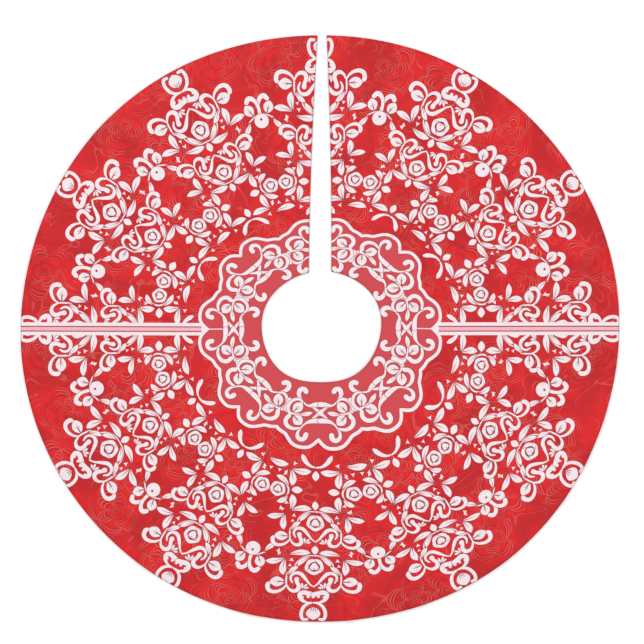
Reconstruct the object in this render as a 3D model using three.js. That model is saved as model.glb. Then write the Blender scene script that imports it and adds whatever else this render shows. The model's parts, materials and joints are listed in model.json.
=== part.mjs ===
// A round tree skirt laid flat: a printed face cloth, a white lining, tapes that finish
// its hem, collar and slit, hook-and-loop tabs that close the slit, and a sewn label.
// +Z is up and z = 0 is the floor. The slit runs from the trunk hole towards +Y.
// The cloth folds along two lines, x = 0 and y = 0, so each layer is held as quarters.
import * as THREE from 'three';

// ---------- Driving dimensions, in millimetres ----------
const SKIRT_RADIUS = 558.8; // 44 inches across
const HOLE_RADIUS = 108;

const SLIT_HALF_AT_HOLE = 21;
const SLIT_HALF_AT_HEM = 7.8;
const SLIT_BOW = 3; // how far each slit edge curves outward halfway along

const FACE_THICKNESS = 0.8;
const LINING_THICKNESS = 0.6;
const LINING_INSET = 2.5;
const HEM_WIDTH = 25;
const COLLAR_WIDTH = 22;
const SLIT_TAPE_WIDTH = 40;
const SLIT_TAPE_THICKNESS = 0.6;

const TAB_STATIONS = { inner: 190, middle: 325, outer: 460 }; // distance from the centre
const TAB_WIDTH = 25;
const TAB_THICKNESS = 0.6;
const TAB_REACH = 38; // how far a closed tab goes past the left slit edge
const TAB_SETBACK = 1; // how far a tucked tab stays back from the right slit edge
const PATCH_LENGTH = 30;
const PATCH_WIDTH = 21;
const PATCH_THICKNESS = 0.6;
const PATCH_END_MARGIN = 2;

const LABEL_LENGTH = 36;
const LABEL_WIDTH = 20;
const LABEL_THICKNESS = 0.5;
const LABEL_ANGLE = -35; // degrees round from +X

const GAP = 0.3; // between pieces that lie on each other
const FLOOR_CLEARANCE = 0.1; // under the closed tabs
const ARC_STEP = 3; // degrees along an arc
const SLIT_STEPS = 12;

// ---------- Heights of the layers ----------
// Under the slit tape there is room for the loop patch and for the closed tab with its hook patch.
const slitTapeBottom = FLOOR_CLEARANCE + TAB_THICKNESS + 2 * PATCH_THICKNESS + 3 * GAP;
const loopBottom = slitTapeBottom - GAP - PATCH_THICKNESS;
const tabBottom = slitTapeBottom - GAP - TAB_THICKNESS;
const hookBottom = tabBottom - GAP - PATCH_THICKNESS;
const liningBottom = slitTapeBottom + SLIT_TAPE_THICKNESS + GAP;
const edgeTapeThickness = liningBottom - GAP;
const faceBottom = liningBottom + LINING_THICKNESS + GAP;
const labelBottom = liningBottom - GAP - LABEL_THICKNESS;

// ---------- Materials ----------
const cloth = (color, roughness) => new THREE.MeshStandardMaterial({ color, roughness, metalness: 0 });
const printedCloth = cloth(0xd8242c, 0.6);
const liningCloth = cloth(0xeceaf0, 0.75);
const edgeTape = cloth(0xe8e6ea, 0.7);
const webbing = cloth(0xe4e2e6, 0.8);
const hookPile = cloth(0xdcdadf, 0.85);
const loopPile = cloth(0xe6e4e8, 0.9);
const labelSatin = cloth(0xf2f1f4, 0.45);

const group = new THREE.Group();
group.name = 'tree_skirt';

// ---------- Outlines ----------
// Half the slit's width at a distance from the centre: a straight taper plus a slight bow.
function slitHalf(radius) {
  const t = (radius - HOLE_RADIUS) / (SKIRT_RADIUS - HOLE_RADIUS);
  return THREE.MathUtils.lerp(SLIT_HALF_AT_HOLE, SLIT_HALF_AT_HEM, t) + 4 * SLIT_BOW * t * (1 - t);
}

// The point of the right slit edge, moved back by an inset, at a distance from the centre.
function slitPoint(radius, inset) {
  const x = slitHalf(radius) + inset;
  return new THREE.Vector2(x, Math.sqrt(radius * radius - x * x));
}

// Points along an arc about the centre, both ends included.
function arcPoints(radius, from, to) {
  const steps = Math.max(2, Math.ceil(Math.abs(to - from) / THREE.MathUtils.degToRad(ARC_STEP)));
  return Array.from({ length: steps + 1 }, (_, i) => {
    const angle = from + ((to - from) * i) / steps;
    return new THREE.Vector2(radius * Math.cos(angle), radius * Math.sin(angle));
  });
}

// Points along the right slit edge between two distances from the centre, both included.
function slitEdge(from, to, inset) {
  return Array.from({ length: SLIT_STEPS + 1 }, (_, i) =>
    slitPoint(THREE.MathUtils.lerp(from, to, i / SLIT_STEPS), inset));
}

// A quarter of a ring between two radii. The upper quarters stop at the slit, the lower
// ones at x = 0, and all of them keep half a gap to the fold line y = 0.
function ringQuarter(inner, outer, isUpper, slitInset) {
  const fold = (radius) => Math.asin(GAP / 2 / radius);
  if (isUpper) {
    const innerEnd = slitPoint(inner, slitInset).angle();
    const outerEnd = slitPoint(outer, slitInset).angle();
    return [
      ...arcPoints(inner, fold(inner), innerEnd),
      ...slitEdge(inner, outer, slitInset).slice(1, -1),
      ...arcPoints(outer, outerEnd, fold(outer)),
    ];
  }
  const quarter = Math.PI / 2;
  return [
    ...arcPoints(inner, -fold(inner), fold(inner) - quarter),
    ...arcPoints(outer, fold(outer) - quarter, -fold(outer)),
  ];
}

function rectangle(left, bottom, right, top) {
  return [[left, bottom], [right, bottom], [right, top], [left, top]].map(
    ([x, y]) => new THREE.Vector2(x, y));
}

// ---------- Pieces ----------
function addPlate(name, points, bottom, thickness, material, side = 1) {
  const outline = points.map((p) => new THREE.Vector2(side * p.x, p.y));
  const geometry = new THREE.ExtrudeGeometry(new THREE.Shape(outline), {
    depth: thickness,
    bevelEnabled: false,
  });
  const mesh = new THREE.Mesh(geometry, material);
  mesh.name = name;
  mesh.position.z = bottom;
  group.add(mesh);
  return mesh;
}

const SIDES = { left: -1, right: 1 };

// The cloth layers and the tapes that go round the hem and the collar.
for (const [sideName, side] of Object.entries(SIDES)) {
  for (const half of ['lower', 'upper']) {
    const isUpper = half === 'upper';
    const place = `${half}_${sideName}`;
    const face = ringQuarter(HOLE_RADIUS, SKIRT_RADIUS, isUpper, 0);
    const lining = ringQuarter(
      HOLE_RADIUS + LINING_INSET, SKIRT_RADIUS - LINING_INSET, isUpper, LINING_INSET);
    const hem = ringQuarter(SKIRT_RADIUS - HEM_WIDTH, SKIRT_RADIUS, isUpper, 0);
    const collar = ringQuarter(HOLE_RADIUS, HOLE_RADIUS + COLLAR_WIDTH, isUpper, 0);
    addPlate(`face_${place}`, face, faceBottom, FACE_THICKNESS, printedCloth, side);
    addPlate(`lining_${place}`, lining, liningBottom, LINING_THICKNESS, liningCloth, side);
    addPlate(`hem_tape_${place}`, hem, 0, edgeTapeThickness, edgeTape, side);
    addPlate(`collar_tape_${place}`, collar, 0, edgeTapeThickness, edgeTape, side);
  }

  // The tape along each slit edge, from the collar tape to the hem tape. Its ends follow them.
  const start = HOLE_RADIUS + COLLAR_WIDTH + GAP;
  const end = SKIRT_RADIUS - HEM_WIDTH - GAP;
  const cornerAngle = (radius, inset) => slitPoint(radius, inset).angle();
  const slitTape = [
    ...arcPoints(start, cornerAngle(start, SLIT_TAPE_WIDTH), cornerAngle(start, 0)),
    ...slitEdge(start, end, 0).slice(1, -1),
    ...arcPoints(end, cornerAngle(end, 0), cornerAngle(end, SLIT_TAPE_WIDTH)),
    ...slitEdge(start, end, SLIT_TAPE_WIDTH).slice(1, -1).reverse(),
  ];
  addPlate(`slit_tape_${sideName}`, slitTape, slitTapeBottom, SLIT_TAPE_THICKNESS, edgeTape, side);
}

// The closure tabs lie tucked under the right slit edge. Each is sewn down at that edge, and
// swings under it, across the slit, until its hook patch meets the loop patch on the left.
for (const [station, y] of Object.entries(TAB_STATIONS)) {
  const low = y - TAB_WIDTH / 2;
  const root = Math.max(slitHalf(low), slitHalf(y + TAB_WIDTH / 2)) + TAB_SETBACK;
  const length = root + slitHalf(y) + TAB_REACH;
  const tip = root + length;
  const strap = rectangle(root, low, tip, low + TAB_WIDTH);
  const patchLow = y - PATCH_WIDTH / 2;
  const hook = rectangle(
    tip - PATCH_END_MARGIN - PATCH_LENGTH, patchLow, tip - PATCH_END_MARGIN, patchLow + PATCH_WIDTH);
  const loopFar = length - root - PATCH_END_MARGIN;
  const loop = rectangle(loopFar - PATCH_LENGTH, patchLow, loopFar, patchLow + PATCH_WIDTH);
  addPlate(`tab_strap_${station}`, strap, tabBottom, TAB_THICKNESS, webbing);
  addPlate(`hook_patch_${station}`, hook, hookBottom, PATCH_THICKNESS, hookPile);
  addPlate(`loop_patch_${station}`, loop, loopBottom, PATCH_THICKNESS, loopPile, SIDES.left);
}

// The label is sewn under the lining, with its long side along the hem tape.
const label = addPlate('care_label', rectangle(-LABEL_WIDTH, -LABEL_LENGTH / 2, 0, LABEL_LENGTH / 2),
  labelBottom, LABEL_THICKNESS, labelSatin);
const labelAngle = THREE.MathUtils.degToRad(LABEL_ANGLE);
const labelRadius = Math.sqrt((SKIRT_RADIUS - HEM_WIDTH - GAP) ** 2 - (LABEL_LENGTH / 2) ** 2) - 1;
label.position.x = labelRadius * Math.cos(labelAngle);
label.position.y = labelRadius * Math.sin(labelAngle);
label.rotation.z = labelAngle;

export default group;
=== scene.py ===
"""A round printed tree skirt: the cloth, its print, lining, tapes, closure tabs and label.

The skirt lies on the floor, z = 0, with its trunk hole about the origin and its slit towards
+Y. Flat shapes are drawn in millimetres, as a pattern maker draws them, and every finished
mesh is in metres.
"""

import json
import math

import bmesh
import bpy
import numpy as np
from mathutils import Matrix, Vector, geometry


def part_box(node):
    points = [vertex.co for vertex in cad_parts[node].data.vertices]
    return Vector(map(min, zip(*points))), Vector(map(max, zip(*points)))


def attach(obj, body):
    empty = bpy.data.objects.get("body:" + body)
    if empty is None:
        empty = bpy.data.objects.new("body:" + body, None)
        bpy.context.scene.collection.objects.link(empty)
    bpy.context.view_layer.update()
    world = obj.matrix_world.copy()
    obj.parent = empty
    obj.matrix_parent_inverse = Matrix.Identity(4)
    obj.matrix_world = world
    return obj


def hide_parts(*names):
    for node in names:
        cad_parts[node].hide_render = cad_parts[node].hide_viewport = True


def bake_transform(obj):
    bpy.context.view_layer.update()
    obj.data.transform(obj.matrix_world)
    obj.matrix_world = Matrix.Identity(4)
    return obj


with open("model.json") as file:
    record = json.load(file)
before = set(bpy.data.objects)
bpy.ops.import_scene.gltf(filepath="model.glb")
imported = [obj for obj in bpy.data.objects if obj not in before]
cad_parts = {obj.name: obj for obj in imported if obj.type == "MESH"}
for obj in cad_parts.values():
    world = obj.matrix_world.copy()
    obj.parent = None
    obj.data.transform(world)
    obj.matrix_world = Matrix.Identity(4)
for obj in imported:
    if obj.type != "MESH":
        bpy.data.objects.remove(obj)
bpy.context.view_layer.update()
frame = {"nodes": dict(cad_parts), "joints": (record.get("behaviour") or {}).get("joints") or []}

bl_info = {
    "name": "Printed Tree Skirt",
    "version": (1, 0, 0),
    "blender": (4, 5, 0),
    "location": "3D View > Sidebar > Tree Skirt",
    "description": "Makes a round printed tree skirt with its lining, tapes, tabs and label",
    "category": "Add Mesh",
}

MM = 0.001


# ---------- What the frame gives ----------
def places_of(piece):
    """The corners of a piece or node, in metres."""
    return np.array([v.co for v in piece.data.vertices], float)


def node_points(node):
    """The corners of a CAD node, in millimetres."""
    return places_of(frame["nodes"][node]) / MM


def around(radius, angle):
    """Points about the centre at each angle, at one radius or at a radius for each."""
    return np.reshape(radius, (-1, 1)) * np.column_stack([np.cos(angle), np.sin(angle)])


def ring_radii(node):
    """The inner and outer radius of a node that is part of a ring, in millimetres."""
    radii = np.hypot(*node_points(node)[:, :2].T)
    return radii.min(), radii.max()


def slit_edge(node):
    """Distances from the centre along a slit edge, and half the slit's width at each."""
    points = node_points(node)[:, :2]
    radii = np.hypot(*points.T)
    steps = np.unique(radii.round(3))
    return steps, np.array([points[abs(radii - r) < 0.01, 0].min() for r in steps])


HOLE_RADIUS, SKIRT_RADIUS = ring_radii("face_lower_right")
COLLAR_WIDTH = ring_radii("collar_tape_lower_right")[1] - HOLE_RADIUS
HEM_WIDTH = SKIRT_RADIUS - ring_radii("hem_tape_lower_right")[0]
SLIT_RADII, SLIT_HALVES = slit_edge("face_upper_right")
SLIT_TAPE_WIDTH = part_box("slit_tape_right")[1].x / MM - SLIT_HALVES.max()
FACE_TOP, FACE_BOTTOM = (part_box("face_lower_right")[i].z / MM for i in (1, 0))
LINING_TOP, LINING_BOTTOM = (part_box("lining_lower_right")[i].z / MM for i in (1, 0))
TAPE_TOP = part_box("hem_tape_lower_right")[1].z / MM
SLIT_TAPE_TOP, SLIT_TAPE_BOTTOM = (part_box("slit_tape_right")[i].z / MM for i in (1, 0))
FOLD_HEIGHT = next(j["pos_m"][2] for j in frame["joints"] if j["name"] == "left_flap_fold") / MM
STORAGE_HEIGHT = next(j["pos_m"][2] for j in frame["joints"] if j["name"] == "storage_fold") / MM
CENTRE_TO_FOLD = FOLD_HEIGHT - FACE_TOP
FOLD_REACH = 0.5 * math.pi * CENTRE_TO_FOLD + 1  # half the cloth that a flap's fold takes up
STORAGE_REACH = 0.5 * math.pi * (FACE_TOP - STORAGE_HEIGHT)
MIDDLE_HALF = STORAGE_REACH + 4  # half the strip that bends over the storage fold
STATIONS = ("inner", "middle", "outer")


# ---------- Settings ----------
def colour(name, text, default):
    return bpy.props.FloatVectorProperty(
        name=name, description=text, subtype="COLOR", size=3, min=0, max=1, default=default
    )


def length(name, text, default):
    return bpy.props.FloatProperty(
        name=name, description=text, subtype="DISTANCE", unit="LENGTH", min=0, default=default
    )


class TreeSkirtPrint(bpy.types.PropertyGroup):
    """The colours of the print."""

    field: colour("Field", "The red ground of the cloth", (0.50, 0.012, 0.016))
    field_light: colour("Field light", "The lighter petals in the red ground", (0.70, 0.014, 0.018))
    white: colour("White", "The printed scrolls, leaves and roses", (0.85, 0.74, 0.77))
    medallion: colour("Medallion", "The ground round the trunk hole", (0.60, 0.060, 0.072))
    band: colour("Band", "The pale stripe in the two side bands", (0.80, 0.46, 0.50))
    pinstripe: colour("Pinstripe", "The thin lines in the bands", (0.42, 0.020, 0.035))
    vein: colour("Vein", "The veins of the leaves and buds", (0.34, 0.05, 0.08))
    shade: colour("Shade", "The dark line round the white shapes", (0.36, 0.010, 0.018))


class TreeSkirtCloth(bpy.types.PropertyGroup):
    """How the cloth is cut and lies."""

    face_thickness: length("Face thickness", "Thickness of the printed cloth", 0.0008)
    lining_thickness: length("Lining thickness", "Thickness of the lining", 0.0006)
    grid: length("Grid", "Spacing of the cloth's own mesh points", 0.011)
    wave: length("Wave", "Height of the highest wave in the cloth", 0.0062)
    edge_drop: length("Edge drop", "How far the turned edge rolls down", 0.0017)
    edge_reach: length("Edge reach", "How far in from the edge the roll starts", 0.0042)
    lining: colour("Lining", "The lining's colour", (0.80, 0.79, 0.82))


class TreeSkirtTrim(bpy.types.PropertyGroup):
    """The tapes, the tabs and the sewing."""

    tape: colour("Tape", "Colour of the hem, collar and slit tapes", (0.78, 0.77, 0.80))
    webbing: colour("Webbing", "Colour of the closure tabs", (0.74, 0.73, 0.76))
    thread: colour("Thread", "Colour of the sewing thread", (0.86, 0.85, 0.87))
    stitch: length("Stitch", "Length of one stitch", 0.0031)
    stitch_gap: length("Stitch gap", "Space from one stitch to the next", 0.0016)
    thread_width: length("Thread width", "Thickness of the sewing thread", 0.00055)
    tape_thickness: length("Tape thickness", "Thickness of the hem and collar tapes", 0.0016)
    hook_pitch: length("Hook pitch", "Spacing of the hooks and loops", 0.0019)


class TreeSkirtStage(bpy.types.PropertyGroup):
    """The floor, the light and the view."""

    floor: colour("Floor", "Colour of the floor", (0.95, 0.95, 0.95))
    height: length("Camera height", "Height of the camera above the floor", 4.2)
    frame_width: length("Frame width", "Width of floor that the picture takes in", 1.2016)
    right: length("Right", "How far the camera stands to the right of the hole", 0.0037)
    back: length("Back", "How far the camera stands back towards the slit", 0.0121)


# ---------- Drawing closed outlines, in millimetres ----------
FIELD, WHITE, MEDALLION, BAND, PINSTRIPE, VEIN, SHADE = range(7)
SHADE_WIDTH = 0.9  # the dark line round each white shape: partly printed outline, partly painted shade of the raised print


def smooth(points, steps=4):
    """Points on a smooth curve through the given ones. A third number is a width, and follows."""
    p = np.array(points, float)
    if len(p) < 3:
        t = np.linspace(0, 1, steps + 1)[:, None]
        return p[0] * (1 - t) + p[-1] * t
    ends = np.vstack([2 * p[0] - p[1], p, 2 * p[-1] - p[-2]])
    t = (np.arange(steps) / steps)[:, None]
    spans = [
        0.5 * (2 * b + (c - a) * t + (2 * a - 5 * b + 4 * c - d) * t**2
               + (3 * b - a - 3 * c + d) * t**3)
        for a, b, c, d in zip(ends, ends[1:], ends[2:], ends[3:])
    ]
    return np.vstack([*spans, p[-1:]])


def sideways(line):
    """The unit vectors to the left of a line of points."""
    along = np.gradient(line, axis=0)
    along /= np.maximum(np.hypot(*along.T), 1e-9)[:, None]
    return np.column_stack([-along[:, 1], along[:, 0]])


def stroke(points, paint=WHITE, steps=4):
    """A brush stroke through (u, v, width) points, with round ends."""
    line = smooth(points, steps)
    centre, half = line[:, :2], line[:, 2] / 2
    left = sideways(centre)
    turns = np.linspace(0, math.pi, 6)[1:-1]
    caps = []
    for end, way in ((-1, 1), (0, -1)):
        side, along = left[end] * way, np.array([left[end][1], -left[end][0]]) * way
        caps.append([centre[end] + half[end] * (math.cos(t) * side + math.sin(t) * along)
                     for t in turns])
    outline = np.vstack([centre + left * half[:, None], caps[0],
                         (centre - left * half[:, None])[::-1], caps[1]])
    return [(paint, outline)]


def grown(outline, by):
    """The outline moved outwards on all sides. It may run either way round."""
    before, after = np.roll(outline, 1, axis=0), np.roll(outline, -1, axis=0)
    along = after - before
    along /= np.maximum(np.hypot(*along.T), 1e-9)[:, None]
    x, y = outline.T
    way = math.copysign(1, float((x * np.roll(y, -1) - y * np.roll(x, -1)).sum()))
    return outline + way * by * np.column_stack([along[:, 1], -along[:, 0]])


def shaded(shapes):
    """The shapes with a thin dark line round all of them together, partly print and partly painted
    shade.
    """
    return [(SHADE, grown(outline, SHADE_WIDTH)) for _, outline in shapes] + shapes


def petal(root, tip, width, bend, widest, fullness, vein):
    """A leaf shape from root to tip, bent to one side, with its dark line and a vein."""
    root, tip = np.array(root, float), np.array(tip, float)
    t = np.linspace(0, 1, 10)
    across = np.array([root[1] - tip[1], tip[0] - root[0]]) / np.hypot(*(tip - root))
    middle = root + np.outer(t, tip - root) + np.outer(4 * t * (1 - t) * bend, across)
    half = width / 2 * np.sin(math.pi * t**widest) ** fullness
    left = sideways(middle)
    outline = np.vstack([middle + left * half[:, None], (middle - left * half[:, None])[-2:0:-1]])
    shapes = shaded([(WHITE, outline)])
    if vein:
        line = [(*middle[i], width) for i, width in ((0, vein), (2, vein), (6, 0.25 * vein))]
        shapes += stroke(line, VEIN, 2)
    return shapes


def leaf(root, tip, width, bend=0.0):
    """A comma-shaped leaf: thin at its root and widest towards its tip."""
    return petal(root, tip, width, bend, 1.5, 0.8, 0.12 * width if width > 6 else 0)


def bud(root, tip, width, vein=True):
    """A plump bud with a pointed tip, a notch at its root and a vein to either side."""
    shapes = petal(root, tip, width, 0, 1.05, 0.72, 0.11 * width if vein else 0)
    if vein:
        root, arm = np.array(root, float), np.array(tip, float) - root
        across = np.array([-arm[1], arm[0]]) / np.hypot(*arm)
        for side in (1, -1):
            start, end = root + 0.3 * arm, root + 0.5 * arm + side * 0.22 * width * across
            shapes += stroke([(*start, 1.0), (*end, 0.4)], VEIN, 2)
    return shapes


def disc(centre, radius, paint=WHITE, sides=16):
    turns = np.linspace(0, 2 * math.pi, sides, endpoint=False)
    return [(paint, np.array(centre) + around(radius, turns))]


def rose(centre, radius):
    """A rose seen from above: a ring of petals round a heart, with a dark gap between them."""
    def lobed(size, depth, lobes, turn):
        turns = np.linspace(0, 2 * math.pi, 20, endpoint=False)
        reach = size * radius * (1 + depth * np.cos(lobes * (turns - turn)))
        return np.array(centre) + around(reach, turns)

    def fold(angle):
        """The line where one petal lies on the next."""
        ends = np.array(centre) + around((0.62 * radius, 0.92 * radius), (angle, angle + 0.5))
        return stroke([(*end, width * radius) for end, width in zip(ends, (0.07, 0.03))], VEIN, 2)

    up = math.pi / 2
    petals = shaded([(WHITE, lobed(1, 0.05, 5, up))]) + flat(fold(a) for a in (0.2, 2.3, 4.3))
    heart = [(SHADE, lobed(0.6, 0.04, 4, up)), (WHITE, lobed(0.43, 0.12, 3, -up))]
    return petals + heart + disc((centre[0], centre[1] + 0.24 * radius), 0.07 * radius, SHADE, 6)


def diamond(centre, half_width, half_height):
    """A plump petal with two pointed ends, along its longer side."""
    centre, upright = np.array(centre, float), half_height > half_width
    arm = np.array((0, half_height) if upright else (half_width, 0), float)
    return petal(centre - arm, centre + arm, 2 * min(half_width, half_height), 0, 1.0, 0.8, 0)


def triangle(centre, size, turn):
    """A small three-pointed filler with hollow sides."""
    return [(WHITE, np.array(centre) + around(size * np.array([1, 0.42] * 3),
                                              turn + np.arange(6) * math.pi / 3))]


def flat(lists):
    return [shape for shapes in lists for shape in shapes]


def mirrored(shapes):
    """The shapes and their mirror images across the line u = 0."""
    return shapes + [(paint, outline * (-1, 1)) for paint, outline in shapes]


# ---------- The printed motifs: u is across and v is the distance from the centre ----------
def bouquet(node):
    """Half of the rose under scrolls. Its side leaves grow from a node that far from the middle."""
    scrolls = flat([
        # the big hook at the side
        stroke([(50, 489.5, 2.5), (55.5, 496.5, 4.5), (64.5, 501.5, 6), (75, 502.5, 7),
                (82.5, 498, 8), (84.3, 489.5, 8.5), (82.5, 486, 7.5)]),
        # the volute inside it
        stroke([(49.5, 489, 3), (44, 498, 5), (36.5, 501.5, 7), (29, 499, 8), (26.8, 491.5, 8),
                (30, 484, 7), (31, 477.5, 9.5)]),
        # the scroll that runs from the middle round to the stem
        stroke([(0, 493, 3), (7.5, 487, 3.5), (15, 476.5, 6), (23.5, 466.5, 7.5),
                (32.5, 464.5, 6.5), (40, 469, 5), (42, 477, 4.5), (38.5, 484.5, 3)]),
        stroke([(49.5, 490, 3), (50, 478, 3.2), (48.5, 467, 3.6), (45, 461.5, 3)]),
        # the arc under the rose
        stroke([(0, 427.5, 2.6), (12, 428.5, 2.8), (22.5, 433.5, 3), (31, 442, 2.6),
                (35.5, 452, 2)]),
    ])
    return shaded(scrolls) + flat([
        bud((52.5, 482.5), (80.5, 482), 20),
        leaf((48.5, 471), (28.5, 451), 9, 2.5),
        leaf((node, 434), (node + 5, 469), 13, -3.5),
        leaf((node + 0.5, 432.5), (node + 38, 440), 12, 3.5),
        leaf((5.5, 429), (29.5, 450), 9, -3.5),
        triangle((41, 437.5), 5, 0.4),
        triangle((44, 449), 4.2, 2.4),
        triangle((64, 424.5), 4.6, 1.2),
        triangle((19, 422.5), 2.6, 3.6),
        # the sprig on either side of the peak
        leaf((20, 497.5), (8, 494.5), 4.4, 0.5),
        leaf((20, 498), (11, 487), 4.4, 0.5),
        leaf((20, 498), (20.5, 484.5), 4.4, 0.5),
    ])


def bouquet_foot():
    """Half of the pair of leaves at the bottom of the outer bouquet."""
    return leaf((48.5, 428), (7.5, 422.5), 12, 3.5)


def bouquet_middle():
    """The rose and the diamond on the bouquet's middle line."""
    return rose(FIRST_ROSE, ROSE_RADIUS) + diamond((0, 416), 6.2, 9.2)


def hem_crown():
    """Half of the two loops that stand on each bouquet at the hem."""
    loops = flat([
        stroke([(0, 524.5, 3), (9, 526, 4.5), (18, 533, 6.2), (22.3, 545.5, 6.6),
                (19.5, 556, 6), (11.5, 556.5, 5)]),
        stroke([(0, 524.5, 3), (12, 524, 4), (21.5, 518.5, 7), (25, 509.5, 8.5),
                (18.5, 504.5, 9), (9, 506.5, 9), (0, 508.5, 8.5)]),
    ])
    return shaded(loops) + disc((9.5, 512.5), 3) + disc((20, 514), 2.6)


def hem_crown_middle():
    """The onion-shaped bud in the upper loop, with its three veins."""
    veins = [stroke([(u, 533.5, 1.3), (1.5 * u, 538.5, 1.5), (2 * u, 542.5, 0.5)], VEIN, 2)
             for u in (-2.6, 0, 2.6)]
    return bud((0, 532.5), (0, 557.5), 26.5, vein=False) + flat(veins) + disc((0, 513), 3)


def square():
    """Half of the open square of leaves under the second bouquet, and the sprigs under it."""
    return shaded(
        stroke([(0, 257.6, 2.6), (9, 255.8, 4), (17.5, 249.5, 7), (23, 241.5, 8), (25, 237.5, 4)])
    ) + flat([
        leaf((44.2, 341), (6.5, 335.5), 11.5, 3.5),
        leaf((44.2, 340), (40.5, 308.5), 12.5, -3.5),
        leaf((44, 260.5), (40.5, 292.5), 12.5, 3.5),
        leaf((43.6, 260), (7.5, 264.5), 11.5, -3.5),
        diamond((31.3, 300), 9.8, 6.6),
        triangle((36.5, 252), 4.6, 1),
        triangle((50.5, 267), 4, 2),
        triangle((50, 325), 4.6, 0.6),
        triangle((60, 335.5), 4.8, 2.9),
    ])


def square_middle():
    return diamond((0, 328.5), 5.6, 8.8) + diamond((0, 272.5), 6, 9)


def drop_sprig():
    """Half of the drop between two bouquets, with its curled horns, leaf buds and side leaves."""
    horn = stroke([(0, 442, 6.5), (0, 455, 6), (2.6, 464.5, 6.8), (8.5, 471.5, 8.2),
                   (15.5, 472.5, 9), (20, 467, 8.2)])
    twig = stroke([(5, 442.5, 2), (13.5, 438.5, 2.2), (23, 431.5, 2.8)])
    return shaded(horn + twig) + flat([
        bud((13, 441.5), (24.5, 462), 19),
        leaf((22, 432.5), (37, 410), 9.5, -2.5),
        triangle((46, 421.5), 5, 0.6),
    ])


def drop_middle():
    return shaded(disc((0, 430), 13.6)) + disc((0, 433), 2.3, SHADE)


def twin_roses():
    """Half of the pair of small roses between two squares, with the crescents that cup them."""
    arc = stroke([(17, 288, 2.5), (28, 293.5, 3.2), (33.5, 303, 3), (33.2, 313, 3), (28, 321, 2.5)])
    return rose((14.6, 306), 13.8) + shaded(arc) + flat([
        leaf((33.5, 297), (5.5, 282.5), 9.5, 4),
        leaf((34.5, 310.5), (18.5, 330), 9.5, -4),
        triangle((8, 271), 4.2, 1.6),
        triangle((19.5, 275), 4, 2.2),
    ])


def long_leaf():
    """The leaf that joins two squares. It points the same way round each half of the skirt."""
    return leaf((-19, 253.5), (20, 257.5), 11.5, 4)


def rosette_bracket():
    """Half of the two curled brackets across each of the medallion's star axes."""
    brackets = flat([
        stroke([(0, 176, 9), (11, 176, 8.6), (20, 178, 6.2), (26.5, 181.5, 3.6), (33, 188.5, 3.2),
                (38, 197.5, 5.2), (37.3, 205.5, 7), (31.2, 210, 7.6), (24.8, 207.5, 8.6),
                (23, 201.5, 9.4)]),
        stroke([(0, 145.5, 9.5), (10.5, 146.5, 8.5), (19, 148, 5.2), (25.8, 146, 3.2),
                (31.6, 140, 3.2), (36.5, 133, 4.5), (39.2, 127, 8), (38.5, 120.5, 8.6),
                (34, 116.3, 8.6), (28.5, 117.5, 8.6), (26, 121.5, 9)]),
    ])
    hourglass = flat([
        stroke([(0, 161, 9), (5.5, 165.5, 5.5), (12.5, 170.5, 3)]),
        stroke([(0, 161, 9), (5.5, 156.5, 5.5), (12.5, 151.5, 3)]),
    ])
    return shaded(brackets) + shaded(hourglass) + leaf((42, 163.8), (13.5, 160.5), 8, -1.5)


def clover():
    """The two leaf buds and the arcs that hold them, beside each star axis."""
    arcs = flat([
        stroke([(56.5, 166, 8), (61.5, 172.5, 8), (61, 180.5, 7.6), (55.5, 186.8, 7),
                (46.5, 190.3, 5.6), (36.3, 189.3, 4)]),
        stroke([(57, 159, 5), (59.2, 152, 6), (57.5, 144.5, 6.6), (51.8, 138.4, 5.8),
                (44.3, 135.2, 5.4), (37.5, 136.2, 4.4), (32, 141, 3)]),
    ])
    return shaded(arcs) + flat([
        bud((48.5, 166), (32, 182.5), 18.5),
        bud((50, 159.5), (32.5, 142.5), 18.5),
        stroke([(38, 163.5, 2), (47, 162.8, 2.6), (56, 160.5, 5)]),
    ])


def clover_knot():
    """The knot that joins two clovers, on the line between two star axes."""
    return shaded(flat([
        stroke([(0, 148, 9), (0, 157, 7.5), (0, 165, 9)]),
        stroke([(0, 166, 7), (6, 169, 5)]),
    ]))


# ---------- The whole print ----------
FIELD_REPEATS = 12
STAR_REPEATS = 8
PAST_HEM = 20  # the bands are drawn this far past the hem, which cuts them off
BOUQUET_SCALE = 0.9  # the second ring of bouquets beside the first
BOUQUET_TOP, SECOND_TOP = 492.5, 398.5  # where each bouquet's peak stands
FIRST_NODE, SECOND_NODE = 50.5, 56.5  # where each bouquet's side leaves grow from
ROSE_RADIUS, FIRST_ROSE, SECOND_ROSE = 17, (0, 451), (0, 452)
# The medallion's edge from a star axis, 0, to halfway to the next, 1, and its radius there.
MEDALLION_EDGE = ((0, 209.5), (0.1, 218.5), (0.2, 224), (0.33, 225.5), (0.45, 224.5), (0.55, 221),
                  (0.65, 214.5), (0.73, 209), (0.8, 207), (0.9, 205), (1, 201.5))
BORDER_WIDTH = 6
# The side bands: half their width, where their two thin lines run and how wide these are.
BAND_HALF, BAND_LINE, BAND_LINE_WIDTH = 12, 4.4, 2.1
# Where a band's stem ends, where its point is, and where its full width and its lines start.
BAND_STEM_END, BAND_TIP, BAND_FULL, BAND_LINES_START = 181, 205, 220, 221
STEM_HALF = 0.9


def scaled(shapes, factor, top, new_top):
    """The shapes made smaller about the middle line, with their peak moved to new_top."""
    return [(paint, (outline - (0, top)) * factor + (0, new_top)) for paint, outline in shapes]


def turned(shapes, angle):
    """Shapes drawn with v outwards, placed about the centre at an angle in degrees from +X."""
    a = math.radians(angle)
    out, across = np.array([math.cos(a), math.sin(a)]), np.array([math.sin(a), -math.cos(a)])
    return [(paint, outline[:, :1] * across + outline[:, 1:] * out) for paint, outline in shapes]


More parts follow.
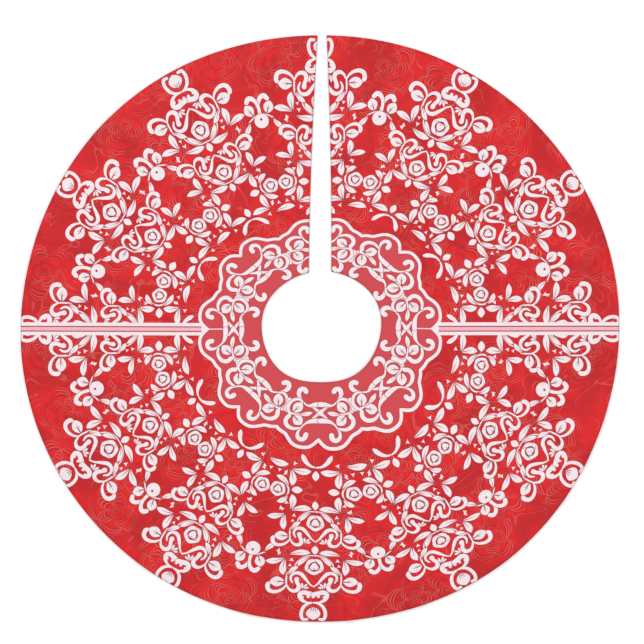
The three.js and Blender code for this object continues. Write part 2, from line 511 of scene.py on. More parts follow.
def medallion_ground():
    """The white scalloped border with the medallion's own ground inside it."""
    half = smooth(MEDALLION_EDGE, 3)
    shares = np.concatenate([half[:-1, 0], 2 - half[:0:-1, 0]])
    radii = np.concatenate([half[:-1, 1], half[:0:-1, 1]])
    step = math.pi / STAR_REPEATS
    angle = np.concatenate([(2 * i + shares) * step for i in range(STAR_REPEATS)])
    edge, half_width = around(np.tile(radii, STAR_REPEATS), angle), BORDER_WIDTH / 2
    return [(SHADE, grown(edge, half_width + SHADE_WIDTH)), (WHITE, grown(edge, half_width)),
            (SHADE, grown(edge, -half_width)), (MEDALLION, grown(edge, -half_width - SHADE_WIDTH))]


def side_band(end):
    """The striped band from the medallion to the hem, drawn along +v."""
    def bar(low, high, half):
        return np.array([(-half, low), (half, low), (half, high), (-half, high)])

    point = np.array([(0, BAND_TIP), (BAND_HALF, BAND_FULL), (BAND_HALF, end), (-BAND_HALF, end),
                      (-BAND_HALF, BAND_FULL)])
    outer = BAND_LINE + BAND_LINE_WIDTH / 2
    return [
        (WHITE, point),
        (PINSTRIPE, bar(BAND_LINES_START, end, outer)),
        (BAND, bar(BAND_LINES_START, end, outer - BAND_LINE_WIDTH)),
        (WHITE, bar(BAND_STEM_END, BAND_TIP + 2, STEM_HALF)),
    ]


def whole_print():
    """Every printed shape, in the order that they lie on each other, as (paint, outline)."""
    first = (mirrored(hem_crown()) + hem_crown_middle()
             + mirrored(bouquet(FIRST_NODE) + bouquet_foot()) + bouquet_middle())
    second = scaled(mirrored(bouquet(SECOND_NODE)) + rose(SECOND_ROSE, ROSE_RADIUS),
                    BOUQUET_SCALE, BOUQUET_TOP, SECOND_TOP)
    petals = first + second + mirrored(square()) + square_middle()
    between = mirrored(drop_sprig()) + drop_middle() + mirrored(twin_roses())
    step = 360 / FIELD_REPEATS
    shapes = []
    for i in range(FIELD_REPEATS):
        way = 1 if i < FIELD_REPEATS / 2 else -1
        link = [(paint, outline * (way, 1)) for paint, outline in long_leaf()]
        shapes += turned(between + link, (i + 0.5) * step) + turned(petals, i * step)
    shapes += medallion_ground()
    star, knot = mirrored(rosette_bracket() + clover()), mirrored(clover_knot())
    step = 360 / STAR_REPEATS
    for i in range(STAR_REPEATS):
        shapes += turned(star, i * step) + turned(knot, (i + 0.5) * step)
    band = side_band(SKIRT_RADIUS + PAST_HEM)
    return shapes + turned(band, 0) + turned(band, 180)


# ---------- The cut of the cloth ----------
# A hand-cut edge isn't a true circle. The hem is wider across than down, and the hole is an oval
# a little off the middle. Each wave: how many times it goes round, its height in mm, and the angle
# of its peak in degrees.
HEM_WAVES = ((2, 5, 0), (4, 1.5, 155), (6, 1, 50))
HOLE_WAVES = ((1, 3.5, 45), (2, 4, 15), (4, 1, 170), (5, 1, 90))
HEM_MEAN, HOLE_MEAN = SKIRT_RADIUS - 5.2, HOLE_RADIUS + 0.6
SLIT_DRIFT = 4.0  # the slit leans to the right by this much from hole to hem
OUTLINE_STEP = 6.0  # the spacing of the points along a cut edge
FIT_START = 150  # the print inside this radius is not fitted to the hem
# Where the cloth is pulled off its flat place, and the print with it: the direction of the place
# and how wide it is, in degrees, how far the cloth moves right and up, in mm, and the radii at
# which the pull starts, is full, begins to fade and is gone.
PULLS = (
    (100, 50, 1, -24, 0, 260, 400, 640),
    (253, 35, -16, 3, 150, 300, 560, 700),
    (302, 35, 9, -17, 150, 300, 380, 520),
    (270, 60, 0, 4, 0, 100, 200, 290),
)


def waved(mean, waves, angle):
    return mean + sum(size * np.cos(n * angle - math.radians(phase)) for n, size, phase in waves)


def hem_radius(angle):
    return waved(HEM_MEAN, HEM_WAVES, angle)


def hole_radius(angle):
    return waved(HOLE_MEAN, HOLE_WAVES, angle)


def slit_half(radius):
    return np.interp(radius, SLIT_RADII, SLIT_HALVES)


def slit_middle(radius):
    return SLIT_DRIFT * np.clip((radius - HOLE_RADIUS) / (SKIRT_RADIUS - HOLE_RADIUS), 0, 1)


def turn_from(angle, degrees):
    """The turn from a direction in degrees to each angle, within half a circle either way."""
    return (angle - math.radians(degrees) + math.pi) % (2 * math.pi) - math.pi


def smoothstep(x, low, high):
    t = np.clip((x - low) / (high - low), 0, 1)
    return t * t * (3 - 2 * t)


def as_laid(points):
    """Print points moved as the cloth lies: fitted to the hem, and pulled where the cloth is."""
    x, y = points.T
    radius, angle = np.hypot(x, y), np.arctan2(y, x)
    fit = 1 + (hem_radius(angle) / SKIRT_RADIUS - 1) * smoothstep(radius, FIT_START, SKIRT_RADIUS)
    moved = points * fit[:, None]
    for turn, spread, right, up, start, full, fade, gone in PULLS:
        off = np.degrees(turn_from(angle, turn)) / spread
        pull = np.exp(-off**2) * smoothstep(radius, start, full)
        pull *= 1 - smoothstep(radius, fade, gone)
        moved = moved + np.outer(pull, (right, up))
    return moved


def slit_corner(side, radius_at, inset):
    """The angle and radius where a slit edge meets a ring, the ring's radius given by angle."""
    angle = math.pi / 2
    for _ in range(4):
        radius = float(radius_at(angle))
        x = slit_middle(radius) + side * (slit_half(radius) + inset)
        angle = math.acos(x / radius)
    return angle, radius


def slit_side(side, low, high, inset):
    """Points on a slit edge from one radius to another, ends left out."""
    radii = np.linspace(low, high, max(3, int(abs(high - low) / OUTLINE_STEP)))[1:-1]
    x = slit_middle(radii) + side * (slit_half(radii) + inset)
    return np.column_stack([x, np.sqrt(radii**2 - x**2)])


def ring_outline(inner_at, outer_at, slit_inset):
    """The outline of a ring of cloth that is open at the slit. Radii are given by angle."""
    def arc(radius_at, start, end):
        count = int(abs(end - start) * float(radius_at(0.0)) / OUTLINE_STEP)
        angle = np.linspace(start, end, count)
        return around(radius_at(angle), angle)

    turn = 2 * math.pi
    (out_right, r1), (out_left, r2) = (slit_corner(s, outer_at, slit_inset) for s in (1, -1))
    (in_right, r3), (in_left, r4) = (slit_corner(s, inner_at, slit_inset) for s in (1, -1))
    return np.vstack([
        arc(outer_at, out_right, out_left - turn), slit_side(-1, r2, r4, slit_inset),
        arc(inner_at, in_left - turn, in_right), slit_side(1, r3, r1, slit_inset),
    ])


def face_outline(inset=0.0):
    return ring_outline(lambda a: hole_radius(a) + inset, lambda a: hem_radius(a) - inset, inset)


EDGE_LINE, EDGE_SHADE = 1.6, 0.5  # how far the painted shade along the turned edge reaches in, and its depth
EDGE_ROW = 3.2  # a second row of points inside the edge, where the roll ends
TAPE_INSET = 4.5  # the tapes and facings stop this far inside the cloth's edge
EDGE_LIP, LIP_REACH = 2.2, 2.4  # how much deeper the turned edge is, and how far in it reaches
LINING_INSET = 5.0
TAPE_GAP = 2  # between the slit facings and the hem and collar tapes


def facing_ends():
    """The radii between which the slit facings run, just clear of the hem and collar tapes."""
    top = math.pi / 2
    return (float(hole_radius(top)) + COLLAR_WIDTH + TAPE_GAP,
            float(hem_radius(top)) - HEM_WIDTH - TAPE_GAP)


def facing_outline(side):
    """The outline of the facing along one side of the slit."""
    low, high = facing_ends()
    near, far = (slit_side(side, low, high, inset) for inset in (TAPE_INSET, SLIT_TAPE_WIDTH))
    line = np.vstack([near, far[::-1]])
    return line if side < 0 else line[::-1]


# ---------- How the cloth lies ----------
# Ridges that run in from the hem: angle, half-width and height in mm, and where they start.
RIDGES = (
    (275.6, 6.0, 1.0, 455), (272.6, 13.0, 0.30, 470), (256.0, 24.0, 0.42, 330),
    (233.0, 30.0, 0.34, 350), (208.0, 26.0, 0.36, 380), (186.0, 20.0, 0.16, 430),
    (161.0, 30.0, 0.34, 360), (139.0, 26.0, 0.40, 350), (118.0, 24.0, 0.24, 400),
    (101.0, 18.0, 0.20, 420), (70.0, 26.0, 0.30, 380), (47.0, 28.0, 0.36, 350),
    (24.0, 24.0, 0.32, 390), (342.0, 22.0, 0.40, 400), (333.0, 12.0, 0.44, 440),
    (325.0, 14.0, 0.40, 430), (309.0, 28.0, 0.34, 350), (290.0, 24.0, 0.30, 380),
)
# Soft ripples all over: turns per mm across and up, where each starts, and its height in mm.
RIPPLES = ((0.021, 0.013, 0.5, 0.060), (-0.012, 0.024, 2.1, 0.055), (0.034, -0.019, 4.0, 0.035),
           (0.007, 0.041, 1.2, 0.030), (0.052, 0.031, 3.3, 0.016), (-0.047, 0.058, 0.2, 0.013))


CALM_SHARE = 0.25  # the share of the waves that is left along the folds and the slit


def edge_distance(x, y):
    """How far a point of the cloth is from its nearest edge, in mm."""
    radius, angle = np.hypot(x, y), np.arctan2(y, x)
    to_slit = np.where(y > 0, np.abs(x - slit_middle(radius)) - slit_half(radius), SKIRT_RADIUS)
    to_ring = np.minimum(hem_radius(angle) - radius, radius - hole_radius(angle))
    return np.maximum(np.minimum(to_ring, to_slit), 0)


def wave_height(x, y):
    """How far the cloth lifts, in mm: low ridges that run in from the hem, and soft ripples."""
    cloth = bpy.context.scene.tree_skirt_cloth
    radius, angle = np.hypot(x, y), np.arctan2(y, x)
    height = np.zeros_like(radius)
    for turn, width, size, start in RIDGES:
        off = turn_from(angle, turn) * radius / width
        height += size * np.exp(-off**2) * smoothstep(radius, start, SKIRT_RADIUS)
    for kx, ky, phase, size in RIPPLES:
        height += size * (1 + np.sin(kx * x + ky * y + phase))
    off_fold = smoothstep(np.abs(y), 8, 60)
    off_slit = np.where(y < 0, smoothstep(np.abs(x), 14, 46), smoothstep(np.abs(x), 20, 90))
    for away in (off_fold, off_slit):
        height *= CALM_SHARE + (1 - CALM_SHARE) * away
    return height * cloth.wave / MM


def lie(x, y, level, roll):
    """The height of a layer's top, with its turned edge rolled down by a share of roll."""
    cloth = bpy.context.scene.tree_skirt_cloth
    height = level + wave_height(x, y)
    if roll:
        into = np.clip(edge_distance(x, y) / (cloth.edge_reach / MM), 0, 1)
        height -= roll * cloth.edge_drop / MM * (1 - into) ** 2
    return height


def slopes(x, y, level, roll, step=0.25):
    """The upward normals of a layer's top."""
    dx = (lie(x + step, y, level, roll) - lie(x - step, y, level, roll)) / (2 * step)
    dy = (lie(x, y + step, level, roll) - lie(x, y - step, level, roll)) / (2 * step)
    normals = np.column_stack([-dx, -dy, np.ones_like(dx)])
    return normals / np.linalg.norm(normals, axis=1)[:, None]


# ---------- Cutting a layer into triangles ----------
# Rows of points across a fold, as shares of its reach, with the same turn between each two rows.
FOLD_ROWS = -2 * np.sin(np.arcsin(np.linspace(1, -1, 19)) / 3)
FOLD_STEP = 2.5  # the longest side of an outline where the cloth bends
# Rows across a crease, in widths.
CREASE_ROWS = (-2.3, -1.6, -1.1, -0.7, -0.35, 0, 0.35, 0.7, 1.1, 1.6, 2.3)
SHARP = 15  # creases narrower than this need such rows
CREASE_STEP = 8.0  # from one such row to the next, along the crease
ROW_SPACING = 0.866  # the spacing of a grid's rows, as a share of that along them
PLAIN_GRID, COLLAR_GRID, FACING_GRID = 11.0, 8.0, 9.0  # the grids of the cloth that has no print
# The seams beside the middle strip: where they run, past the hem and the hole, and their points.
SEAM_START, SEAM_END, SEAM_STEP = -SKIRT_RADIUS - 8, -HOLE_RADIUS + 30, 6.0
SEAM_CLEAR = 1  # loose points keep this far from a seam
ROW_CLEAR = 4  # and this far from the edge where it has rows of its own


def inside(points, outline, batch=4000):
    """Whether each point is inside a closed outline, counted by how often it winds round."""
    (x0, y0), (x1, y1) = outline.T[:, :, None], np.roll(outline, -1, axis=0).T[:, :, None]
    way = np.sign(y1 - y0)
    found = []
    for i in range(0, len(points), batch):
        px, py = points[i:i + batch].T
        crosses = (py >= np.minimum(y0, y1)) & (py < np.maximum(y0, y1))
        side = ((x1 - x0) * (py - y0) - (px - x0) * (y1 - y0)) * way > 0
        found.append(((crosses & side) * way).sum(0) != 0)
    return np.concatenate(found) if found else np.zeros(0, bool)


def bends(points, margin=0.0):
    """Whether each point lies in one of the strips of cloth that bend over a fold."""
    x, y = np.abs(points[:, 0]), points[:, 1]
    return (np.abs(y) < FOLD_REACH + margin) | ((x < STORAGE_REACH + margin) & (y < 0))


def divided(outline, longest):
    """The outline with its long sides cut into shorter ones, the shortest where the cloth bends."""
    ends = np.roll(outline, -1, axis=0)
    most = np.where(bends((outline + ends) / 2), min(FOLD_STEP, longest), longest)
    counts = np.maximum(1, np.ceil(np.hypot(*(ends - outline).T) / most)).astype(int)
    share = np.concatenate([np.arange(count) / count for count in counts])[:, None]
    starts, ends = (np.repeat(points, counts, axis=0) for points in (outline, ends))
    return starts * (1 - share) + ends * share


def grid_points(outline, spacing):
    """Loose points inside an outline: an even grid, and rows along each fold and crease."""
    low, high = outline.min(0), outline.max(0)
    xs, ys = np.arange(low[0], high[0], spacing), np.arange(low[1], high[1], spacing * ROW_SPACING)
    grid = np.array([(x + (spacing / 2 if j % 2 else 0), y) for j, y in enumerate(ys) for x in xs])
    radii = np.arange(HOLE_RADIUS - 20, SKIRT_RADIUS, spacing)
    fold = [(side * r, y) for r in radii for y in FOLD_REACH * FOLD_ROWS for side in (1, -1)]
    strip = [(x, -r) for r in radii for x in STORAGE_REACH * FOLD_ROWS]
    creases = np.array([around(r, [math.radians(turn) + share * width / r])[0]
                        for turn, width, _, start in RIDGES if width < SHARP
                        for r in np.arange(start, SKIRT_RADIUS, CREASE_STEP)
                        for share in CREASE_ROWS])
    loose = np.vstack([grid[~bends(grid, 2)], fold, strip, creases[~bends(creases, 2)]])
    return loose[inside(loose, outline)]


def filled(points, edges, near):
    """Points joined into triangles that follow the edges, all facing up, with none of no area.

    Points nearer to each other than near are made one."""
    places, _, faces, *_ = geometry.delaunay_2d_cdt(
        [Vector(p) for p in points], edges, [], 0, near, False)
    places, triangles = np.array([tuple(p) for p in places]), np.array(faces)
    a, b, c = (places[triangles[:, i]] for i in range(3))
    area = (b[:, 0] - a[:, 0]) * (c[:, 1] - a[:, 1]) - (b[:, 1] - a[:, 1]) * (c[:, 0] - a[:, 0])
    triangles[area < 0] = triangles[area < 0][:, ::-1]
    return places, triangles[np.abs(area) > 1e-7]


def cut_layer(outline, spacing, shapes=(), rows=()):
    """Triangles that fill the outline, follow every shape's edge and carry a grid of points.

    Returns the points, the triangles and each triangle's paint. rows are extra loose points."""
    loose = grid_points(outline, spacing)
    if len(rows):
        loose = np.vstack([loose[edge_distance(*loose.T) > ROW_CLEAR], *rows])
    border = divided(outline, spacing)
    seam = np.arange(SEAM_START, SEAM_END, SEAM_STEP)
    seams = [np.column_stack([np.full_like(seam, x), seam]) for x in (-MIDDLE_HALF, MIDDLE_HALF)]
    points, edges, count = [loose], [], len(loose)
    for line, closed in [(border, True), *((divided(o, spacing), True) for _, o in shapes),
                         *((s, False) for s in seams)]:
        points.append(line)
        ends = len(line) if closed else len(line) - 1
        edges += [(count + i, count + (i + 1) % len(line)) for i in range(ends)]
        count += len(line)
    corners, triangles = filled(np.vstack(points), edges, 0.005)
    centres = corners[triangles].mean(1)
    kept = inside(centres, border)
    triangles, centres = triangles[kept], centres[kept]
    paints = np.full(len(triangles), FIELD)
    order = np.argsort(centres[:, 0])
    across = centres[order, 0]
    for paint, shape in shapes:
        (left, low), (right, high) = shape.min(0), shape.max(0)
        near = order[np.searchsorted(across, left):np.searchsorted(across, right)]
        near = near[(centres[near, 1] > low) & (centres[near, 1] < high)]
        if len(near):
            paints[near[inside(centres[near], shape)]] = paint
    return corners, triangles, paints


def part_of(centres):
    """Which part of the skirt each triangle belongs to: 0 left, 1 right, 2 the middle strip."""
    middle = (np.abs(centres[:, 0]) < MIDDLE_HALF) & (centres[:, 1] < 0)
    return np.where(middle, 2, np.where(centres[:, 0] < 0, 0, 1))


# ---------- Making a closed sheet from a cut layer ----------
def rim_of(triangles):
    """The sides that only one triangle has, each running the way that its triangle does."""
    sides = np.concatenate([triangles[:, [0, 1]], triangles[:, [1, 2]], triangles[:, [2, 0]]])
    owner = np.tile(np.arange(len(triangles)), 3)
    _, first, uses = np.unique(np.sort(sides, axis=1), axis=0, return_index=True,
                               return_counts=True)
    return sides[first[uses == 1]], owner[first[uses == 1]]


def plain_side(corners, rim):
    """The same area in fewer triangles, for the side of the cloth that has no print."""
    after = dict(rim.tolist())
    loop = [rim[0, 0]]
    while after[loop[-1]] != loop[0]:
        loop.append(after[loop[-1]])
    outline = corners[loop]
    loose = grid_points(outline, PLAIN_GRID)
    loose = loose[np.abs(np.abs(loose[:, 0]) - MIDDLE_HALF) > SEAM_CLEAR]
    count = len(outline)
    edges = [(i, (i + 1) % count) for i in range(count)]
    points, triangles = filled(np.vstack([outline, loose]), edges, 1e-5)
    return points, triangles[inside(points[triangles].mean(1), outline)], np.array(loop)


def sheet_mesh(name, corners, triangles, paints, level, thickness, roll=0.0, lip=0.0):
    """A closed sheet: its top follows the cloth, and lip is how much deeper its edge is."""
    used, index = np.unique(triangles, return_inverse=True)
    tops, upper = index.reshape(-1, 3), corners[used]
    rim, rim_owner = rim_of(tops)
    lower, bottoms, loop = plain_side(upper, rim)
    if not np.allclose(lower[:len(loop)], upper[loop], atol=1e-3):
        raise ValueError(f"{name}: the two sides of the cloth have different edges")
    count = len(upper)
    place_below = np.empty(count, int)
    place_below[loop] = np.arange(len(loop)) + count
    places = []
    for points, drop in ((upper, 0), (lower, 1)):
        x, y = points.T
        deep = thickness + lip * (1 - np.clip(edge_distance(x, y) / LIP_REACH, 0, 1))
        places.append(np.column_stack([x, y, lie(x, y, level, roll) - drop * deep]))
    a, b = rim.T
    below_a, below_b = place_below[a], place_below[b]
    walls = np.vstack([np.column_stack([b, a, below_a]), np.column_stack([b, below_a, below_b])])
    faces = np.vstack([tops, bottoms[:, ::-1] + count, walls])
    wall_paint = paints[rim_owner]
    paint = np.concatenate([paints, np.full(len(bottoms), FIELD), wall_paint, wall_paint])
    mesh = bpy.data.meshes.new(name)
    mesh.from_pydata((np.vstack(places) * MM).tolist(), [], faces.tolist())
    along_rim = upper[b] - upper[a]
    outward = np.column_stack([along_rim[:, 1], -along_rim[:, 0], np.zeros(len(a))])
    outward /= np.maximum(np.linalg.norm(outward, axis=1), 1e-9)[:, None]
    normals = np.vstack([slopes(*upper.T, level, roll)[tops.ravel()],
                         -slopes(*lower.T, level, roll)[bottoms[:, ::-1].ravel()],
                         np.repeat(np.vstack([outward, outward]), 3, axis=0)])
    mesh.shade_smooth()
    mesh.normals_split_custom_set(normals.tolist())
    return add_object(name, mesh), paint


def add_object(name, mesh):
    made = bpy.data.objects.new(name, mesh)
    bpy.context.collection.objects.link(made)
    return made


def corner_places(piece):
    """The place of each face corner of a piece, in metres."""
    mesh = piece.data
    places, index = np.empty(3 * len(mesh.vertices)), np.empty(len(mesh.loops), int)
    mesh.vertices.foreach_get("co", places)
    mesh.loops.foreach_get("vertex_index", index)
    return places.reshape(-1, 3)[index]


def flat_area(corners, triangles):
    """The area of a cut layer, in square metres."""
    a, b, c = (corners[triangles[:, i]] for i in range(3))
    return float(np.abs(np.cross(b - a, c - a)).sum() / 2) * MM * MM


def join_body(piece, part):
    """Bakes the piece's place into its mesh, whichever part of the skirt it belongs to."""
    if part == 2:
        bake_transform(piece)
    else:
        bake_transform(piece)


PART_NAMES = ("left", "right", "middle")
SIDES = ((-1, "left"), (1, "right"))


def stands_for(node, part):
    """The left and right pieces stand for two quarters each; the middle strip adds to them."""
    if part < 2:
        side = PART_NAMES[part]
        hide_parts(f"{node}_lower_{side}", f"{node}_upper_{side}")


def finish_piece(piece, material):
    piece.data.materials.clear()
    piece.data.materials.append(material)
    return piece


def layer_pieces(name, node, slot, cut, level, thickness, material, **how):
    """Makes a cut layer as three pieces, left, right and middle.

    Returns each piece with the paint of each of its triangles."""
    corners, triangles, paints = cut
    owner = part_of(corners[triangles].mean(1))
    made = []
    for part, part_name in enumerate(PART_NAMES):
        own = owner == part
        piece, paint = sheet_mesh(f"{name}_{part_name}", corners, triangles[own], paints[own],
                                  level, thickness, **how)
        finish_piece(piece, material)
        join_body(piece, part)
        stands_for(node, part)
        piece["flat_area"] = flat_area(corners, triangles[own])
        made.append((piece, paint))
    return made


# ---------- Node helpers ----------
class Finish:
    """A procedural material, built up node by node."""

    def __init__(self, name, roughness, sheen=0.0, specular=0.4):
        self.material = bpy.data.materials.new(name)
        self.material.use_nodes = True
        self.tree = self.material.node_tree
        self.shader = self.tree.nodes["Principled BSDF"]
        self.shader.inputs["Roughness"].default_value = roughness
        self.shader.inputs["Specular IOR Level"].default_value = specular
        self.shader.inputs["Sheen Weight"].default_value = sheen
        self.shader.inputs["Sheen Roughness"].default_value = 0.4
        self.place = self.node("ShaderNodeTexCoord").outputs["Object"]

    def node(self, kind, **values):
        made = self.tree.nodes.new(kind)
        for key, value in values.items():
            setattr(made, key, value)
        return made

    def link(self, value, socket):
        if isinstance(value, bpy.types.NodeSocket):
            self.tree.links.new(value, socket)
        else:
            socket.default_value = value

    def math(self, operation, a, b=0.0):
        made = self.node("ShaderNodeMath", operation=operation)
        self.link(a, made.inputs[0])
        self.link(b, made.inputs[1])
        return made.outputs[0]

    def times(self, product, *values):
        """All the values multiplied."""
        for value in values:
            product = self.math("MULTIPLY", product, value)
        return product

    def vector(self, operation, a, b=(0, 0, 0), scale=None):
        made = self.node("ShaderNodeVectorMath", operation=operation)
        self.link(a, made.inputs[0])
        if scale is None:
            self.link(b, made.inputs[1])
        else:
            self.link(scale, made.inputs["Scale"])
        return made.outputs["Value" if operation in ("LENGTH", "DOT_PRODUCT") else "Vector"]

    def noise(self, place, scale, detail=2.0, rough=0.5, out="Fac", distortion=0.0):
        made = self.node("ShaderNodeTexNoise")
        self.link(place, made.inputs["Vector"])
        made.inputs["Scale"].default_value = scale
        made.inputs["Detail"].default_value = detail
        made.inputs["Roughness"].default_value = rough
        made.inputs["Distortion"].default_value = distortion
        return made.outputs[out]

    def ribs(self, place, turn, pitch):
        """A wave from 0 to 1, its ribs turned about Z, with one rib each pitch metres."""
        x, y = math.cos(turn) * 2 * math.pi / pitch, math.sin(turn) * 2 * math.pi / pitch
        phase = self.vector("DOT_PRODUCT", place, (x, y, 0))
        return self.times(self.math("ADD", self.math("SINE", phase), 1.0), 0.5)

    def mix(self, share, a, b, blend="MIX"):
        made = self.node("ShaderNodeMix", data_type="RGBA", blend_type=blend)
        self.link(share, made.inputs[0])
        self.link(a, made.inputs[6])
        self.link(b, made.inputs[7])
        return made.outputs[2]

    def ramp(self, value, low, high):
        """The value spread out so that low becomes 0 and high becomes 1."""
        made = self.node("ShaderNodeMapRange")
        made.interpolation_type = "SMOOTHSTEP"
        self.link(value, made.inputs["Value"])
        made.inputs["From Min"].default_value = low
        made.inputs["From Max"].default_value = high
        return made.outputs["Result"]

    def bump(self, height, distance, strength=1.0, over=None):
        made = self.node("ShaderNodeBump")
        made.inputs["Distance"].default_value = distance
        made.inputs["Strength"].default_value = strength
        self.link(height, made.inputs["Height"])
        if over is not None:
            self.link(over, made.inputs["Normal"])
        return made.outputs["Normal"]

    def done(self, base, normal=None):
        self.link(base, self.shader.inputs["Base Color"])
        if normal is not None:
            self.link(normal, self.shader.inputs["Normal"])
        return self.material


def rgba(value):
    return (*value, 1.0)


# ---------- Materials ----------
# The damask flowers, in metres: the space from one to the next, the height of a ring of petals and
# how many it has, half the width of an embossed line, and where a petal's lines run in it.
FLOWER_PITCH, PETAL_HEIGHT, PETAL_COUNT, LINE_HALF = 0.105, 0.0165, 5, 0.0009
PETAL_LINES = (0.94, 0.62, 0.30)
FLOWER_EDGE = (2.6, 3.2)  # the rings over which a flower gives way to the vines between
# Colours of the painted highlight on the raised lines, the painted shade beside them, and the
# random grey of the threads.
RAISED_HIGHLIGHT, RECESSED_SHADE, GREYED = (0.84, 0.20, 0.17), (0.26, 0.005, 0.009), (0.62, 0.50, 0.52)
YARN_PITCH = 0.00082


def damask(finish):
    """The tone-on-tone flowers in the red ground: rings of overlapping petals about each heart.

    Returns a soft tone, the painted highlight on the embossed lines and the painted shade beside
    them, each 0 to 1."""
    sums, times, ramp = finish.math, finish.times, finish.ramp
    drift = finish.vector("SUBTRACT", finish.noise(finish.place, 9.0, out="Color"), (0.5, 0.5, 0.5))
    place = finish.vector("ADD", finish.place, finish.vector("SCALE", drift, scale=0.055))
    cells = finish.node("ShaderNodeTexVoronoi", voronoi_dimensions="2D")
    finish.link(place, cells.inputs["Vector"])
    cells.inputs["Scale"].default_value = 1 / FLOWER_PITCH
    cells.inputs["Randomness"].default_value = 0.8
    off_heart = finish.vector("SUBTRACT", place, cells.outputs["Position"])
    arm = finish.vector("MULTIPLY", off_heart, (1, 1, 0))
    parts = finish.node("ShaderNodeSeparateXYZ")
    finish.link(arm, parts.inputs[0])
    turn = sums("DIVIDE", sums("ARCTAN2", parts.outputs["Y"], parts.outputs["X"]), 2 * math.pi)
    ring = sums("DIVIDE", finish.vector("LENGTH", arm), PETAL_HEIGHT)
    up = sums("FRACT", ring)
    share = sums("ADD", times(turn, PETAL_COUNT), times(sums("FLOOR", ring), 0.5))
    aside = sums("SUBTRACT", sums("FRACT", share), 0.5)
    arch = sums("SUBTRACT", 1.0, times(aside, aside, 4.0))
    # pale is a painted highlight along each embossed line and along the vines, dark a painted shade
    # just beside each line
    pale, dark, half = 0.0, 0.0, LINE_HALF / PETAL_HEIGHT
    for size in PETAL_LINES:
        off = sums("SUBTRACT", up, times(arch, size))
        beside = sums("ADD", off, 1.7 * half)
        pale = sums("MAXIMUM", pale, ramp(sums("ABSOLUTE", off), half, 0.0))
        dark = sums("MAXIMUM", dark, ramp(sums("ABSOLUTE", beside), half, 0.0))
    strands = sums("FRACT", times(finish.noise(place, 15.0, 1.0, 0.4, distortion=1.2), 6.0))
    vine = ramp(sums("ABSOLUTE", sums("SUBTRACT", strands, 0.5)), 0.11, 0.0)
    far = ramp(ring, *FLOWER_EDGE)
    near = sums("SUBTRACT", 1.0, far)
    pale = sums("ADD", times(pale, near), times(vine, far, 0.4))
    tone = sums("ADD", finish.noise(place, 15.0, 3.0, 0.55), times(up, near, 0.22))
    return ramp(tone, 0.36, 0.74), pale, times(dark, near)


def printed_cloth():
    """Satin-faced polyester with the print dyed in, and the damask flowers in its red ground."""
    colours = bpy.context.scene.tree_skirt_print
    finish = Finish("printed satin", 0.56, 0.05, 0.2)
    times, noise, mix = finish.times, finish.noise, finish.mix
    # the print's colours, with painted shade darkening them towards the cut edge
    dye_and_edge_shade = finish.node("ShaderNodeAttribute", attribute_name="dye_and_edge_shade").outputs["Color"]
    ground = finish.node("ShaderNodeAttribute", attribute_name="ground").outputs["Fac"]
    tone, pale, dark = damask(finish)
    base = mix(times(tone, ground), dye_and_edge_shade, rgba(colours.field_light))
    shown = finish.ramp(noise(finish.place, 21.0, 1.0), 0.34, 0.60)
    pale, dark = times(pale, ground, shown), times(dark, ground, 0.66)
    # painted highlight on the damask's embossed lines, then painted shade beside them
    base = mix(times(pale, 0.78), base, rgba(RAISED_HIGHLIGHT))
    base = mix(dark, base, rgba(RECESSED_SHADE))
    thread_shade = finish.ramp(noise(finish.place, 420.0), 0.35, 0.75)
    base = mix(times(thread_shade, 0.16), base, rgba(GREYED), "MULTIPLY")
    relief = finish.bump(finish.math("SUBTRACT", pale, dark), 0.0005, 0.5)
    weave = times(*(finish.ribs(finish.place, turn, YARN_PITCH) for turn in (0.0, math.pi / 2)))
    return finish.done(base, finish.bump(weave, 0.00006, 0.6, relief))


def woven(name, base_colour, pitch, depth, roughness=0.75, turn=0.0, sheen=0.2, across=True,
          slub_and_rib_shade=0.16):
    """A plain or twill cloth: ribs one way or both, with slubs, and slight darkening that is
    painted shade between the ribs and random tone at the slubs.
    """
    finish = Finish(name, roughness, sheen, 0.25)
    ribs = finish.ribs(finish.place, turn, pitch)
    if across:
        ribs = finish.times(ribs, finish.ribs(finish.place, turn + math.pi / 2, pitch))
    slub = finish.noise(finish.place, 90.0, 3.0, 0.6)
    # painted shade: darker between the ribs, where the yarns dip; slubs add random darker tone
    shade = finish.times(finish.math("ADD", slub, finish.math("SUBTRACT", 1.0, ribs)), slub_and_rib_shade)
    base = finish.mix(shade, rgba(base_colour), rgba(tuple(0.62 * c for c in base_colour)))
    height = finish.math("ADD", ribs, finish.times(slub, 0.5))
    return finish.done(base, finish.bump(height, depth, 0.8))


# ---------- Sewing ----------
def deselect():
    if bpy.context.mode != "OBJECT":
        bpy.ops.object.mode_set(mode="OBJECT")
    bpy.ops.object.select_all(action="DESELECT")


def pattern_of(made):
    """Takes a finished small shape's points and faces, and removes the object."""
    points, faces = places_of(made), [tuple(p.vertices) for p in made.data.polygons]
    bpy.data.objects.remove(made)
    return points, faces


def one_stitch():
    """One stitch, modelled at the centre and lying along X."""
    trim = bpy.context.scene.tree_skirt_trim
    deselect()
    bpy.ops.mesh.primitive_uv_sphere_add(segments=6, ring_count=5, radius=0.5)
    made = bpy.context.object
    bpy.ops.transform.rotate(value=math.pi / 2, orient_axis="Y", center_override=(0, 0, 0))
    bpy.ops.transform.resize(value=(trim.stitch, trim.thread_width, trim.thread_width))
    bpy.ops.object.transform_apply(location=True, rotation=True, scale=True)
    return pattern_of(made)


def along(line, pitch):
    """Evenly spaced places on a line, with the direction at each."""
    steps = np.hypot(*np.diff(line, axis=0).T)
    run = np.concatenate([[0], np.cumsum(steps)])
    at = np.arange(pitch / 2, run[-1], pitch)
    place, ahead, behind = (
        np.column_stack([np.interp(at + shift, run, line[:, i]) for i in range(2)])
        for shift in (0, pitch / 4, -pitch / 4))
    return place, np.arctan2(*(ahead - behind).T[::-1])


